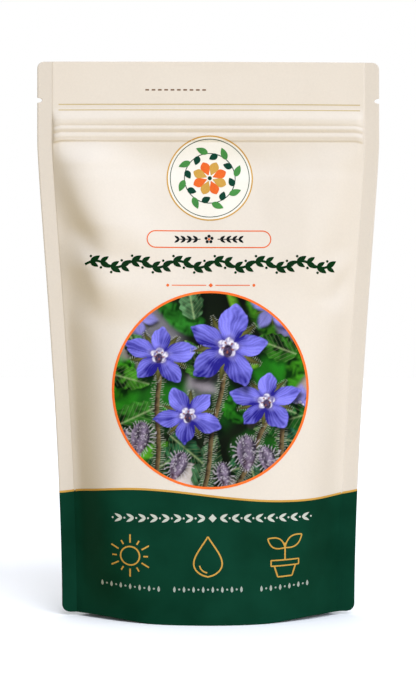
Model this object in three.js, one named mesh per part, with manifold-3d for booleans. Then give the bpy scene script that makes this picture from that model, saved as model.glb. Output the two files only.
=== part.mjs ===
// A resealable stand-up pouch of flower seeds, sealed, filled and standing on its opened bottom gusset.
// Millimetres, +Z up, the printed front towards -Y, the origin on the ground at the middle of the footprint.
//
// Three webs of matt laminated film make the pouch. The front and back webs are heat-sealed to each other
// down both sides and across the top. The third web is folded between them at the bottom and opens into an
// oval floor, flat in the middle. Two press-to-close strips lie inside, under the tear notches.

import * as THREE from "three";
import { mergeVertices } from "three/addons/utils/BufferGeometryUtils.js";
import Module from "manifold-3d";

const wasm = await Module();
wasm.setup();
const { clamp, smoothstep } = THREE.MathUtils;

// ---- Driving dimensions ----

const POUCH_WIDTH = 130; // the flat width of the front and back webs
const POUCH_HEIGHT = 210;
const FILM = 0.3; // each web, drawn about twice its real 0.14
const SEAL_GAP = 0.3; // between the two webs where they are sealed together
const SIDE_SEAL = 5.6; // the flat fin where front and back are sealed together
const TOP_SEAL = 8;
const BASE_HALF_DEPTH = 28; // from the middle plane to the inside of the front web, at the ground
const BELLY_TAPER = 1.5; // the belly is a wedge: 1 closes evenly going up, and more closes later
const BELLY_START = 15; // over this height under the zip the belly starts softly
const OVAL_HEIGHT = 32; // the section is the gusset's oval at the ground, and turns boxy up to here
const ARC_FLATNESS = 2.4; // of the oval: 2 is a round arc, and more is flatter in the middle
const ARC_EDGE = 1.15; // how softly the oval runs out into the side seals
const PLATEAU_FLATNESS = 40; // the same for the webs over the zip, which stand off almost to the seals
const DRAW_IN = 9.5; // how far a full section draws each side seal inwards
const DRAW_TAPER = 1.8; // how late that starts to ease going up
const DRAW_ROUND = 1.36; // how softly it eases off under the zip
const CORNER_LIFT = 2.2; // how far the two bottom corners stand off the ground
const GROUND_SHARE = 0.4; // the share of the bottom edge that touches the ground
const CORNER_RADIUS = 3;

const ZIP_Z = 183.45; // halfway between the two tracks of the zip
const TRACK_PITCH = 2.9;
const ZIP_HALF_LENGTH = 54;
const ZIP_HALF_GAP = 1.5; // from the middle plane to the inside of the webs, over the zip
const TRACK_RELIEF = 0.25; // how far the webs stand out over each track

const NOTCH_Z = 195.3;
const NOTCH_DEPTH = 1.8;
const NOTCH_HEIGHT = 1.8;

const GUSSET_REACH = 39; // the height of the gusset's fold at the side seals
const SKIRT_HEIGHT = 5; // the gusset's seal to the front and back webs, at mid width
const GUSSET_CLEAR = 0.25; // between the gusset's skirt and the webs it is sealed to
const GUSSET_END = 0.965; // how far along the chord its two layers stay apart
const CREASE_START = 0.2; // where the fold of the floor leaves the ground, as a share of the chord
const LOBE_START = 0.4; // where the floor beside the fold does

const FILL_LEVEL = 72;
const SEED_CLEAR = 0.95; // between the heap and the inside of the webs
const FLOOR_CLEAR = 0.7; // between the heap and the floor
const SEED_PITCH = 6; // between the nutlets of the heap's top layer
const SEED_SIZE = new THREE.Vector3(2.6, 1.5, 1.4); // half the length, width and thickness of a nutlet

const FREE_HALF_WIDTH = POUCH_WIDTH / 2 - SIDE_SEAL; // of a web, between its two side seals
const BELLY_TOP = ZIP_Z - 4.4; // where the belly ends, at the lower edge of the zip

// ---- The form of the filled pouch ----

// How far the filling pushes the inside of a web from the middle plane, at mid width.
function belly(z) {
  const up = clamp(z / BELLY_TOP, 0, 1);
  return BASE_HALF_DEPTH * (1 - up ** BELLY_TAPER) * smoothstep(BELLY_TOP - z, 0, BELLY_START);
}

// How far the zip, and the air in the header above it, hold the webs apart.
function band(z) {
  const header = smoothstep(z, ZIP_Z + 4, ZIP_Z + 8);
  const zip = ZIP_HALF_GAP * smoothstep(z, BELLY_TOP - 12, BELLY_TOP) * (1 - header);
  const air = 0.4 * header * (1 - smoothstep(z, POUCH_HEIGHT - TOP_SEAL - 3, POUCH_HEIGHT - TOP_SEAL));
  const track = (side) => Math.exp(-(((z - ZIP_Z - (side * TRACK_PITCH) / 2) / 0.8) ** 2));
  return zip + air + TRACK_RELIEF * (track(1) + track(-1));
}

// Half the distance between the side seals. The web keeps its width, so a deeper section is a narrower one.
function halfChord(z) {
  const up = clamp(z / BELLY_TOP, 0, 1);
  return FREE_HALF_WIDTH - DRAW_IN * (1 - up ** DRAW_TAPER) ** DRAW_ROUND;
}

// The film falls from the belly to a side seal along a line that starts at the seal and runs inwards and
// down, and then starts again at the seal: those are the puckers. Each run has the heights of its ends, how
// far in from the seal it is at both, how late it turns inwards, and the height of the crest beside it.
const LAST_RUN = { top: 114, bottom: 0, start: 2, end: 5.6, lateness: 0.3, crest: 0 };
const FRONT_RUNS = {
  left: [
    { top: 178, bottom: 139, start: 0.8, end: 13.5, lateness: 2.2, crest: 4 },
    { top: 139, bottom: 114, start: 1.6, end: 14.5, lateness: 1.5, crest: 2.2 },
    LAST_RUN,
  ],
  right: [
    { top: 178, bottom: 133, start: 2, end: 10, lateness: 1.8, crest: 1.2 },
    { top: 133, bottom: 114, start: 3, end: 8, lateness: 1.5, crest: 0.5 },
    LAST_RUN,
  ],
};
const BACK_RUNS = {
  left: [
    { top: 178, bottom: 145, start: 1.6, end: 11, lateness: 2, crest: 2.2 },
    { top: 145, bottom: 114, start: 2.2, end: 10, lateness: 1.6, crest: 0.9 },
    LAST_RUN,
  ],
  right: [
    { top: 178, bottom: 136, start: 1.2, end: 12.5, lateness: 2.2, crest: 3.2 },
    { top: 136, bottom: 114, start: 2, end: 12, lateness: 1.6, crest: 1.4 },
    LAST_RUN,
  ],
};
const RUN_OVERLAP = 4.5; // one run fades into the next over this height either way
const LINE_LIMIT = 1.15; // a run that has faded out stops turning inwards here
const CREST_OFFSET = 8.5; // from a run's line to the top of its crest
const CREST_WIDTH = 6.5;
const CREST_EASE = 8; // the crests fade out over this height under the zip

// The film falls off over these widths, on the belly's side of a line and on the seal's side. Both are wider
// where the pouch is full.
const fallInside = (z) => 7.5 + 5.5 * smoothstep(-z, -130, -85);
const fallOutside = (z) => 3.2 + 1.3 * smoothstep(-z, -120, -90);

// The share of the belly that a web has reached at an inset from a side seal, and how high the crests are.
function sideFall(inset, z, runs) {
  let share = 0;
  let crests = 0;
  let leftOver = 1;
  for (const { top, bottom, start, end, lateness, crest } of runs) {
    const still = bottom > 0 ? smoothstep(z, bottom - RUN_OVERLAP, bottom + RUN_OVERLAP) : 1;
    const weight = leftOver * still;
    leftOver *= 1 - still;
    const line = start + (end - start) * clamp((top - z) / (top - bottom), 0, LINE_LIMIT) ** lateness;
    const fallen = (way) => {
      const width = way > line ? fallInside(z) : fallOutside(z);
      const scaled = (way - line) / width;
      return (width * scaled) / Math.hypot(1, scaled);
    };
    share += (weight * (fallen(inset) - fallen(0))) / (fallen(halfChord(z)) - fallen(0));
    const hump = Math.exp(-(((inset - line - CREST_OFFSET) / CREST_WIDTH) ** 2));
    crests += weight * crest * hump * smoothstep(inset, 0, 5) * smoothstep(top - z, -3, 8);
  }
  return { share, crests };
}

// From the middle plane to the inside of a web, at x and z.
function depthAt(x, z, runs) {
  const chord = halfChord(z);
  const across = Math.min(1, Math.abs(x) / chord);
  const left = sideFall(Math.max(chord + x, 0), z, runs.left);
  const right = sideFall(Math.max(chord - x, 0), z, runs.right);
  const oval = (1 - across ** ARC_FLATNESS) ** ARC_EDGE;
  const boxy = left.share * right.share;
  const section = oval + (boxy - oval) * smoothstep(z, 0, OVAL_HEIGHT);
  const plateau = (1 - across ** PLATEAU_FLATNESS) ** ARC_EDGE;
  const crests = (left.crests + right.crests) * smoothstep(BELLY_TOP - z, 0, CREST_EASE);
  return SEAL_GAP / 2 + belly(z) * section + band(z) * plateau + crests;
}

// How far a share lies past its start, from 0 there to 1 at the end of the chord.
function beyond(share, start) {
  return clamp((share - start) / (1 - start), 0, 1);
}

// The bottom edge touches the ground at mid width and rises to the corners.
function cornerLift(x) {
  return CORNER_LIFT * beyond(Math.abs(x) / halfChord(0), GROUND_SHARE) ** 2;
}

// ---- From grids and outlines to solids ----

// A closed sheet between two grids of points that match, with its rim. Both faces are split alike.
function sheet(near, far) {
  const rows = near.length;
  const columns = near[0].length;
  const at = (layer, r, c) => (layer * rows + r) * columns + c;
  const index = [];
  const quad = (a, b, c, d) => index.push(a, b, c, a, c, d);
  for (let r = 0; r < rows - 1; r++) {
    for (let c = 0; c < columns - 1; c++) {
      quad(at(0, r, c), at(0, r, c + 1), at(0, r + 1, c + 1), at(0, r + 1, c));
      quad(at(1, r, c), at(1, r + 1, c), at(1, r + 1, c + 1), at(1, r, c + 1));
    }
  }
  for (let c = 0; c < columns - 1; c++) {
    quad(at(0, 0, c), at(1, 0, c), at(1, 0, c + 1), at(0, 0, c + 1));
    quad(at(0, rows - 1, c + 1), at(1, rows - 1, c + 1), at(1, rows - 1, c), at(0, rows - 1, c));
  }
  for (let r = 0; r < rows - 1; r++) {
    quad(at(0, r + 1, 0), at(1, r + 1, 0), at(1, r, 0), at(0, r, 0));
    quad(at(0, r, columns - 1), at(1, r, columns - 1), at(1, r + 1, columns - 1), at(0, r + 1, columns - 1));
  }
  const positions = [...near.flat(), ...far.flat()].flatMap((p) => p.toArray());
  return outwards(positions, index);
}

// A closed mesh whose faces point out, whichever way round they were listed.
function outwards(positions, index) {
  const corner = (i) => new THREE.Vector3().fromArray(positions, 3 * index[i]);
  let volume = 0;
  for (let i = 0; i < index.length; i += 3) volume += corner(i).cross(corner(i + 1)).dot(corner(i + 2));
  const turned = volume < 0 ? index.toReversed() : index;
  const geometry = new THREE.BufferGeometry();
  geometry.setAttribute("position", new THREE.Float32BufferAttribute(positions, 3));
  geometry.setIndex(turned);
  return geometry;
}

function solidOf(geometry) {
  const bare = new THREE.BufferGeometry();
  bare.setAttribute("position", geometry.getAttribute("position"));
  bare.setIndex(geometry.index);
  const merged = mergeVertices(bare, 1e-4);
  return new wasm.Manifold(
    new wasm.Mesh({
      numProp: 3,
      vertProperties: new Float32Array(merged.attributes.position.array),
      triVerts: new Uint32Array(merged.index.array),
    }),
  );
}

function geometryOf(solid) {
  const mesh = solid.getMesh();
  const geometry = new THREE.BufferGeometry();
  geometry.setAttribute("position", new THREE.BufferAttribute(mesh.vertProperties, 3));
  geometry.setIndex(new THREE.BufferAttribute(mesh.triVerts, 1));
  return geometry;
}

// An outline in x and z, cut through the whole pouch from front to back.
function cutterOf(outline) {
  const reach = 20;
  const options = { depth: 2 * reach, bevelEnabled: false, curveSegments: 6 };
  const geometry = new THREE.ExtrudeGeometry(outline, options);
  geometry.rotateX(Math.PI / 2);
  geometry.translate(0, reach, 0);
  return solidOf(geometry);
}

// ---- Front and back webs ----

// Steps from -1 at the left side seal to 1 at the right one, finer towards both.
function webColumns(steps) {
  const crowding = 0.92;
  const angle = (i) => ((i / steps) * 2 - 1) * (Math.PI / 2) * crowding;
  return Array.from({ length: steps + 1 }, (_, i) => Math.sin(angle(i)) / Math.sin(angle(steps)));
}

function webRows() {
  const body = Array.from({ length: 40 }, (_, i) => (BELLY_TOP - 3) * (i / 39));
  const zip = [-2.9, -1.45, -0.7, 0, 0.7, 1.45, 2.9].map((offset) => ZIP_Z + offset);
  const header = [ZIP_Z + 5, ZIP_Z + 8, NOTCH_Z, POUCH_HEIGHT - TOP_SEAL, POUCH_HEIGHT];
  return [...body, ...zip, ...header];
}

const WEB_ACROSS = webColumns(26);
const WEB_ROWS = webRows();

// The inside face of a web: side is -1 for the front and 1 for the back.
function webPoint(side, runs, across, z) {
  const chord = halfChord(z);
  const inFin = Math.abs(across) > 1;
  const x = inFin ? Math.sign(across) * (chord + SIDE_SEAL) : across * chord;
  const settle = 1 - smoothstep(z, 0, 45);
  return new THREE.Vector3(x, side * depthAt(x, z, runs), z + cornerLift(x) * settle);
}

// The same face moved out by the film's thickness, square to the surface.
function thickened(grid, side) {
  const rows = grid.length;
  const columns = grid[0].length;
  return grid.map((row, r) =>
    row.map((point, c) => {
      const along = grid[r][Math.min(c + 1, columns - 1)].clone().sub(grid[r][Math.max(c - 1, 0)]);
      const up = grid[Math.min(r + 1, rows - 1)][c].clone().sub(grid[Math.max(r - 1, 0)][c]);
      const normal = along.cross(up).normalize();
      if (normal.y * side < 0) normal.negate();
      const moved = point.clone().addScaledVector(normal, FILM);
      if (r === 0 || r === rows - 1) moved.z = point.z;
      return moved;
    }),
  );
}

function notchOutline(side) {
  const edge = (side * POUCH_WIDTH) / 2;
  const radius = NOTCH_HEIGHT / 2;
  const centre = edge - side * (NOTCH_DEPTH - radius);
  const outline = new THREE.Shape();
  outline.moveTo(edge + side, NOTCH_Z - radius);
  outline.lineTo(centre, NOTCH_Z - radius);
  outline.absarc(centre, NOTCH_Z, radius, -Math.PI / 2, Math.PI / 2, side > 0);
  outline.lineTo(edge + side, NOTCH_Z + radius);
  outline.closePath();
  return outline;
}

// What rounding takes off a corner that points along (side, end).
function cornerOutline(side, end, cornerX, cornerZ) {
  const x = cornerX - side * CORNER_RADIUS;
  const z = cornerZ - end * CORNER_RADIUS;
  const points = [new THREE.Vector2(cornerX + side, cornerZ + end), new THREE.Vector2(x, cornerZ + end)];
  for (let i = 0; i <= 5; i++) {
    const angle = ((i / 5) * Math.PI) / 2;
    const outX = side * CORNER_RADIUS * Math.sin(angle);
    const outZ = end * CORNER_RADIUS * Math.cos(angle);
    points.push(new THREE.Vector2(x + outX, z + outZ));
  }
  points.push(new THREE.Vector2(cornerX + side, z));
  return new THREE.Shape(points);
}

function web(side, runs) {
  const across = [-2, ...WEB_ACROSS, 2];
  const inside = WEB_ROWS.map((z) => across.map((a) => webPoint(side, runs, a, z)));
  let solid = solidOf(sheet(inside, thickened(inside, side)));
  const bottomX = halfChord(0) + SIDE_SEAL;
  for (const end of [-1, 1]) {
    solid = solid.subtract(cutterOf(notchOutline(end)));
    solid = solid.subtract(cutterOf(cornerOutline(end, 1, (end * POUCH_WIDTH) / 2, POUCH_HEIGHT)));
    solid = solid.subtract(cutterOf(cornerOutline(end, -1, end * bottomX, cornerLift(bottomX))));
  }
  return geometryOf(solid);
}

// ---- Bottom gusset ----

// The outer face of the floor, between the two seals: across runs from -1 at the front to 1 at the back.
// It lies flat on the ground around the middle and climbs to the gusset's fold at both ends.
function floorHeight(along, across) {
  const outer = Math.abs(along);
  const side = Math.abs(across);
  const skirt = SKIRT_HEIGHT + (GUSSET_REACH - SKIRT_HEIGHT) * outer ** 2.4;
  const crease = (GUSSET_REACH - 1) * beyond(outer, CREASE_START) ** 1.5;
  const lobe = (GUSSET_REACH - 1) * beyond(outer, LOBE_START) ** 1.7;
  const toSkirt = smoothstep(side, 0.62, 1);
  const toCrease = 1 - smoothstep(side, 0, 0.3);
  return lobe + (skirt - lobe) * toSkirt + (crease - lobe) * toCrease;
}

const SKIRT_LEVELS = [0.15, 0.3, 0.45, 0.6, 0.8]; // heights on the skirt, as shares of it
const FLOOR_ACROSS = [0.86, 0.74, 0.62, 0.46, 0.3, 0.2, 0.1];
const GUSSET_STEPS = Array.from({ length: 33 }, (_, i) => ((i / 16 - 1) * Math.PI) / 2);
const GUSSET_ALONG = GUSSET_STEPS.map((angle) => GUSSET_END * Math.sin(angle));

// From the middle plane to the skirt's face that looks inwards. The two webs are alike this low.
function skirtReach(along, z) {
  return depthAt(along * halfChord(0), z, FRONT_RUNS) - GUSSET_CLEAR - FILM;
}

// One line across the gusset, from the front seal over the floor to the back seal. Offset 0 gives its lower
// face, and the film's thickness its upper one. The skirts turn down, so there they face in and out.
function gussetLine(along, offset) {
  const x = along * halfChord(0);
  const skirtTop = floorHeight(along, 1);
  const half = [[skirtReach(along, 0), cornerLift(x), 1, 0]];
  for (const share of SKIRT_LEVELS) half.push([skirtReach(along, share * skirtTop), share * skirtTop, 1, 0]);
  half.push([skirtReach(along, skirtTop), skirtTop, Math.SQRT1_2, Math.SQRT1_2]);
  for (const across of FLOOR_ACROSS) {
    half.push([across * skirtReach(along, skirtTop), floorHeight(along, across), 0, 1]);
  }
  const place = (side) => {
    return ([y, z, outY, outZ]) => new THREE.Vector3(x, side * (y + offset * outY), z + offset * outZ);
  };
  const middle = new THREE.Vector3(x, 0, floorHeight(along, 0) + offset);
  return [...half.map(place(-1)), middle, ...half.toReversed().map(place(1))];
}

function gusset() {
  return sheet(
    GUSSET_ALONG.map((along) => gussetLine(along, 0)),
    GUSSET_ALONG.map((along) => gussetLine(along, FILM)),
  );
}

// ---- Press-to-close zip ----

const FLANGE_HALF_HEIGHT = 4.6;
const FLANGE_OUT = 1.2; // the flange's outer face, from the middle plane
const FLANGE = 0.25;

function stripOf(outline) {
  const shape = new THREE.Shape(outline.map(([y, z]) => new THREE.Vector2(y, z)));
  const geometry = new THREE.ExtrudeGeometry(shape, { depth: 2 * ZIP_HALF_LENGTH, bevelEnabled: false });
  // The shape's own x and y become the strip's y and z, and its depth runs along x.
  const alongX = new THREE.Vector3(1, 0, 0);
  const alongY = new THREE.Vector3(0, 1, 0);
  const alongZ = new THREE.Vector3(0, 0, 1);
  geometry.applyMatrix4(new THREE.Matrix4().makeBasis(alongY, alongZ, alongX));
  geometry.translate(-ZIP_HALF_LENGTH, 0, ZIP_Z);
  return geometryOf(solidOf(geometry));
}

// The front strip: two hooked channels on one flange.
function grooveStrip() {
  const floor = -FLANGE_OUT + FLANGE;
  const channel = (z) => [
    [floor, z - 1.02],
    [0.3, z - 1.02],
    [0.3, z - 0.45],
    [0.02, z - 0.45],
    [0.02, z - 0.72],
    [floor, z - 0.72],
    [floor, z + 0.72],
    [0.02, z + 0.72],
    [0.02, z + 0.45],
    [0.3, z + 0.45],
    [0.3, z + 1.02],
    [floor, z + 1.02],
  ];
  return stripOf([
    [-FLANGE_OUT, -FLANGE_HALF_HEIGHT],
    [floor, -FLANGE_HALF_HEIGHT],
    ...channel(-TRACK_PITCH / 2),
    ...channel(TRACK_PITCH / 2),
    [floor, FLANGE_HALF_HEIGHT],
    [-FLANGE_OUT, FLANGE_HALF_HEIGHT],
  ]);
}

// The back strip: two arrow-headed ribs on one flange, each snapped into its channel.
function ridgeStrip() {
  const root = FLANGE_OUT - FLANGE;
  const rib = (z) => [
    [root, z + 0.16],
    [-0.18, z + 0.16],
    [-0.18, z + 0.56],
    [-0.7, z + 0.15],
    [-0.7, z - 0.15],
    [-0.18, z - 0.56],
    [-0.18, z - 0.16],
    [root, z - 0.16],
  ];
  return stripOf([
    [FLANGE_OUT, -FLANGE_HALF_HEIGHT],
    [FLANGE_OUT, FLANGE_HALF_HEIGHT],
    [root, FLANGE_HALF_HEIGHT],
    ...rib(TRACK_PITCH / 2),
    ...rib(-TRACK_PITCH / 2),
    [root, -FLANGE_HALF_HEIGHT],
  ]);
}

// ---- Seeds ----

// The same draws on every run.
function drawsFrom(seed) {
  let state = seed;
  return () => {
    state = (state * 1664525 + 1013904223) % 4294967296;
    return state / 4294967296;
  };
}

const ROOM_END = 0.93; // how far along the chord the heap reaches

// The room inside the pouch up to the fill level, as two grids that meet in a thin edge at each side.
function seedRoom() {
  const levels = Array.from({ length: 10 }, (_, i) => 0.5 + ((FILL_LEVEL - 0.5) * i) / 9);
  const angles = Array.from({ length: 19 }, (_, i) => ((i / 9 - 1) * Math.PI) / 2);
  const alongs = angles.map((angle) => ROOM_END * Math.sin(angle));
  const wall = (side) =>
    levels.map((z) =>
      alongs.map((along) => {
        const x = along * halfChord(z);
        return new THREE.Vector3(x, side * Math.max(0.2, depthAt(x, z, FRONT_RUNS) - SEED_CLEAR), z);
      }),
    );
  return solidOf(sheet(wall(-1), wall(1)));
}

// Everything up to just above the floor of the gusset, for cutting the seeds' underside.
function belowFloor() {
  const top = GUSSET_ALONG.map((along) => {
    const line = gussetLine(along, 0).slice(SKIRT_LEVELS.length + 1, -SKIRT_LEVELS.length - 1);
    const lifted = line.map((point) => point.clone().setZ(point.z + FILM + FLOOR_CLEAR));
    const front = lifted[0].clone().setY(lifted[0].y - 4);
    const back = lifted.at(-1).clone().setY(lifted.at(-1).y + 4);
    return [front, ...lifted, back];
  });
  const shifted = (line, by) => line.map((point) => point.clone().setX(point.x + by));
  const longer = [shifted(top[0], -5), ...top, shifted(top.at(-1), 5)];
  return solidOf(sheet(longer, longer.map((line) => line.map((point) => point.clone().setZ(-5)))));
}

// Nutlets lie at all angles over the top of the heap, sunk to about half, in rows that are a little uneven.
function seeds() {
  const draw = drawsFrom(7);
  let heap = seedRoom().subtract(belowFloor());
  const nutlet = new THREE.IcosahedronGeometry(1, 0);
  for (let column = -7; column <= 7; column++) {
    for (let row = -4; row <= 3; row++) {
      const x = SEED_PITCH * column + 0.5 * (draw() - 0.5);
      const y = SEED_PITCH * (row + (column % 2 ? 0.25 : 0.75)) + 0.5 * (draw() - 0.5);
      const lie = new THREE.Euler(draw() - 0.5, draw() - 0.5, 2 * Math.PI * draw());
      const turn = new THREE.Quaternion().setFromEuler(lie);
      const room = depthAt(x, FILL_LEVEL + 3, FRONT_RUNS) - SEED_CLEAR - SEED_SIZE.x - 2.4;
      if (Math.abs(y) > room) continue;
      const place = new THREE.Matrix4().compose(new THREE.Vector3(x, y, FILL_LEVEL + 0.4), turn, SEED_SIZE);
      heap = heap.add(solidOf(nutlet.clone().applyMatrix4(place)));
    }
  }
  return geometryOf(heap);
}

// ---- The pouch ----

const CREAM_FILM = { color: 0xf0e6dc, roughness: 0.62, metalness: 0 };
const GREEN_FILM = { color: 0x0f3b2c, roughness: 0.55, metalness: 0 };
const CLEAR_PLASTIC = { color: 0xe4e2da, roughness: 0.35, metalness: 0 };
const SEED_HUSK = { color: 0x2b2019, roughness: 0.8, metalness: 0 };

const pouch = new THREE.Group();

function addPiece(name, geometry, finish) {
  geometry.computeVertexNormals();
  const piece = new THREE.Mesh(geometry, new THREE.MeshStandardMaterial(finish));
  piece.name = name;
  pouch.add(piece);
}

addPiece("front_web", web(-1, FRONT_RUNS), CREAM_FILM);
addPiece("back_web", web(1, BACK_RUNS), CREAM_FILM);
addPiece("bottom_gusset", gusset(), GREEN_FILM);
addPiece("zip_groove_strip", grooveStrip(), CLEAR_PLASTIC);
addPiece("zip_ridge_strip", ridgeStrip(), CLEAR_PLASTIC);
addPiece("seed_fill", seeds(), SEED_HUSK);

export default pouch;
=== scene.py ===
import math

import bmesh
import bpy
import numpy as np
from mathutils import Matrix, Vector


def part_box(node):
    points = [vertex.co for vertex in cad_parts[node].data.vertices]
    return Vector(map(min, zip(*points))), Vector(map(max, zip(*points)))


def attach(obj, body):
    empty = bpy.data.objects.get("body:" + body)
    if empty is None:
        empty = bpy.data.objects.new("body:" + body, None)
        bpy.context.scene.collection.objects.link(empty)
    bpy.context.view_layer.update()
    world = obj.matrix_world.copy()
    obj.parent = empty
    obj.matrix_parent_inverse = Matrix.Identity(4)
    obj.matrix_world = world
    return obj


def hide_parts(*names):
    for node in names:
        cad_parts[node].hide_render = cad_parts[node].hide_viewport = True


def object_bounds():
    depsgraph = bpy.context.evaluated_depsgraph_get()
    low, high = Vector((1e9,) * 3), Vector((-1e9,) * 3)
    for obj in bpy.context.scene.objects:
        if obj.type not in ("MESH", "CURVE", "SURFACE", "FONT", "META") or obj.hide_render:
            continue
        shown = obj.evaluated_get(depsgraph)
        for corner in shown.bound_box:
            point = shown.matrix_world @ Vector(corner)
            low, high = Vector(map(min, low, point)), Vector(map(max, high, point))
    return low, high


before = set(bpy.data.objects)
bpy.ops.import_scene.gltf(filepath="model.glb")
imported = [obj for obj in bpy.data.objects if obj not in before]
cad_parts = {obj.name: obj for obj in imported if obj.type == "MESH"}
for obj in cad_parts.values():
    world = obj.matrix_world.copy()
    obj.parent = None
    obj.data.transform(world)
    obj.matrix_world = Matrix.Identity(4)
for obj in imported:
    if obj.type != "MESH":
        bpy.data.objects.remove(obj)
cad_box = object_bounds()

# ---- Front web ----
# The front of the pouch is one web of laminated film, 0.14 mm thick: a matt outer film printed on its inside,
# a barrier and a sealant. It is heat-sealed to the back web down both sides and across the top, and the seeds
# push it out into a belly that pulls soft puckers from the side seals.

MM = 0.001
FILM = 0.14
SIDE_SEAL = 5.6
cad_low, cad_high = cad_box
zip_low, zip_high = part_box("zip_groove_strip")
POUCH_WIDTH = (cad_high.x - cad_low.x) / MM
POUCH_HEIGHT = (cad_high.z - cad_low.z) / MM
CAD_FILM_AND_GAP = 0.45
BASE_HALF_DEPTH = cad_high.y / MM - CAD_FILM_AND_GAP
ZIP_Z = (zip_low.z + zip_high.z) / 2 / MM
ZIP_HALF_HEIGHT = 4.4
BELLY_TOP = ZIP_Z - ZIP_HALF_HEIGHT
FREE_HALF_WIDTH = POUCH_WIDTH / 2 - SIDE_SEAL


def rise(value, low, high):
    """0 below low, 1 above high, and a smooth slope between them."""
    share = np.clip((value - low) / (high - low), 0, 1)
    return share * share * (3 - 2 * share)


def bump(value, centre, width):
    """A smooth hump of height 1."""
    return np.exp(-(((value - centre) / width) ** 2))


BELLY_TAPER = 1.5
BELLY_SHOULDER = 15


def belly(z):
    """How far the seeds hold a web off the middle plane, at mid width: a wedge that fills out downwards."""
    filling = BASE_HALF_DEPTH * (1 - np.clip(z / BELLY_TOP, 0, 1) ** BELLY_TAPER)
    return filling * rise(BELLY_TOP - z, 0, BELLY_SHOULDER)


ZIP_HALF_DEPTH = 1.15


def zip_band(z):
    """How far the zip inside holds a web off the middle plane."""
    above_foot = rise(z, BELLY_TOP - 12, BELLY_TOP)
    below_head = 1 - rise(z, ZIP_Z + 4, ZIP_Z + 9)
    return ZIP_HALF_DEPTH * above_foot * below_head


SEAL_PULL = 9.5


def half_chord(z):
    """From the middle of the pouch to a side seal. A full section draws the two seals together."""
    fullness = (1 - np.clip(z / BELLY_TOP, 0, 1) ** 1.75) ** 1.25
    return FREE_HALF_WIDTH - SEAL_PULL * fullness


# The film falls from the belly to a side seal along a line that starts at the seal and runs inwards and down,
# and then starts again at the seal: those are the puckers. Each run of the line gives the height of its lower
# end, how far in from the seal it is at its two ends, how late it turns inwards, the height of the crest
# beside it, and how wide the fall is on its inner and on its outer side.
LEFT, RIGHT = -1, 1
FRONT_RUNS = {
    LEFT: [
        (139, 2.5, 14.5, 1.8, 6, 4.5, 6.5),
        (117, 1.5, 12.5, 0.7, 3.5, 4.5, 12),
        (0, 2.5, 5, 0.35, 0, 10.5, 4),
    ],
    RIGHT: [
        (131, 3, 12, 1.3, 2, 11, 11),
        (122, -1, 8.5, 0.7, 0, 7.5, 3.5),
        (0, 2.5, 7, 0.35, 0, 12.5, 9),
    ],
}
BACK_RUNS = {
    LEFT: [
        (141, 2, 11.5, 1.5, 2.5, 8, 8),
        (117, 1.5, 10.5, 0.8, 1, 7, 9),
        (0, 2.5, 6, 0.35, 0, 12, 6.5),
    ],
    RIGHT: [
        (136, 2, 13, 1.6, 4.5, 5.5, 7.5),
        (115, 2, 12, 0.75, 2.5, 5.5, 10.5),
        (0, 2.5, 5.5, 0.35, 0, 11.5, 5),
    ],
}
FIRST_RUN_TOP = 178
RUN_OVERLAP = 9
CREST_OFFSET = 8.5
CREST_OUTER_WIDTH = 14
CREST_INNER_WIDTH = 15.5
CREST_START = 3.5


def fallen(way, line, inner, outer):
    """A soft step: how much of the fall is passed at way, from the seal inwards."""
    width = np.where(way > line, inner, outer)
    scaled = (way - line) / width
    return width * scaled / np.sqrt(1 + scaled**2)


def side_fall(x, z, runs, side):
    """The share of the belly that a web has reached at x on one side, and the crests beside the puckers."""
    chord = half_chord(z)
    inset = np.maximum(chord - side * x, 0)
    share = np.zeros_like(inset)
    crests = np.zeros_like(inset)
    left_over = np.ones_like(inset)
    top = FIRST_RUN_TOP
    for bottom, start, end, lateness, crest, inner, outer in runs:
        ends_here = rise(z, bottom - RUN_OVERLAP, bottom + RUN_OVERLAP) if bottom > 0 else 1.0
        weight = left_over * ends_here
        left_over = left_over * (1 - ends_here)
        line = start + (end - start) * np.clip((top - z) / (top - bottom), 0, 1.15) ** lateness
        at_seal = fallen(0.0, line, inner, outer)
        at_middle = fallen(chord, line, inner, outer)
        share += weight * (fallen(inset, line, inner, outer) - at_seal) / (at_middle - at_seal)
        peak = line + CREST_OFFSET
        hump = bump(inset, peak, np.where(inset < peak, CREST_OUTER_WIDTH, CREST_INNER_WIDTH))
        crests += weight * crest * hump * (1 - np.exp(-inset / CREST_START)) * rise(top - z, -3, 8)
        top = bottom + RUN_OVERLAP
    return share, crests


# Each wave's length across and up, how far along it the middle of the pouch is, and its height.
SLACK_WAVES = [(31, 74, 0.4, 0.16), (-19, 47, 1.9, 0.09), (24, -33, 4.0, 0.07), (11, 61, 2.6, 0.035)]


def slack(x, z):
    """Long shallow waves where the film isn't stretched."""
    return sum(
        high * np.sin(2 * math.pi * (x / wide + z / tall) + turn)
        for wide, tall, turn, high in SLACK_WAVES)


# Each track or groove of the zip: how high or deep it shows, its place above the middle line, and its width.
ZIP_TRACKS = [(0.3, 0.85, 0.75), (0.3, -2.0, 0.9)]
ZIP_GROOVES = [(0.19, 2.1, 0.4), (0.18, -0.5, 0.38)]
ZIP_END_DIP = 0.6


def zip_relief(x, z):
    """The two tracks of the zip and the lower edge of its strip, pressed through the film."""
    level = z - ZIP_Z + ZIP_END_DIP * rise(np.abs(x), 55.5, 59)
    tracks = sum(high * bump(level, place, wide) for high, place, wide in ZIP_TRACKS)
    grooves = sum(deep * bump(level, place, wide) for deep, place, wide in ZIP_GROOVES)
    edge_height = 0.5 + 0.25 * bump(x, -55, 14)
    strip_edge = edge_height * rise(level, -4.1, -3.3) * (1 - rise(level, 3, 9))
    return tracks - grooves + strip_edge


OVAL_TOP = 32
HEADER_BOW = 1.4
WELD_STEP = 0.22
WEB_GAP = 0.02


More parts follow.
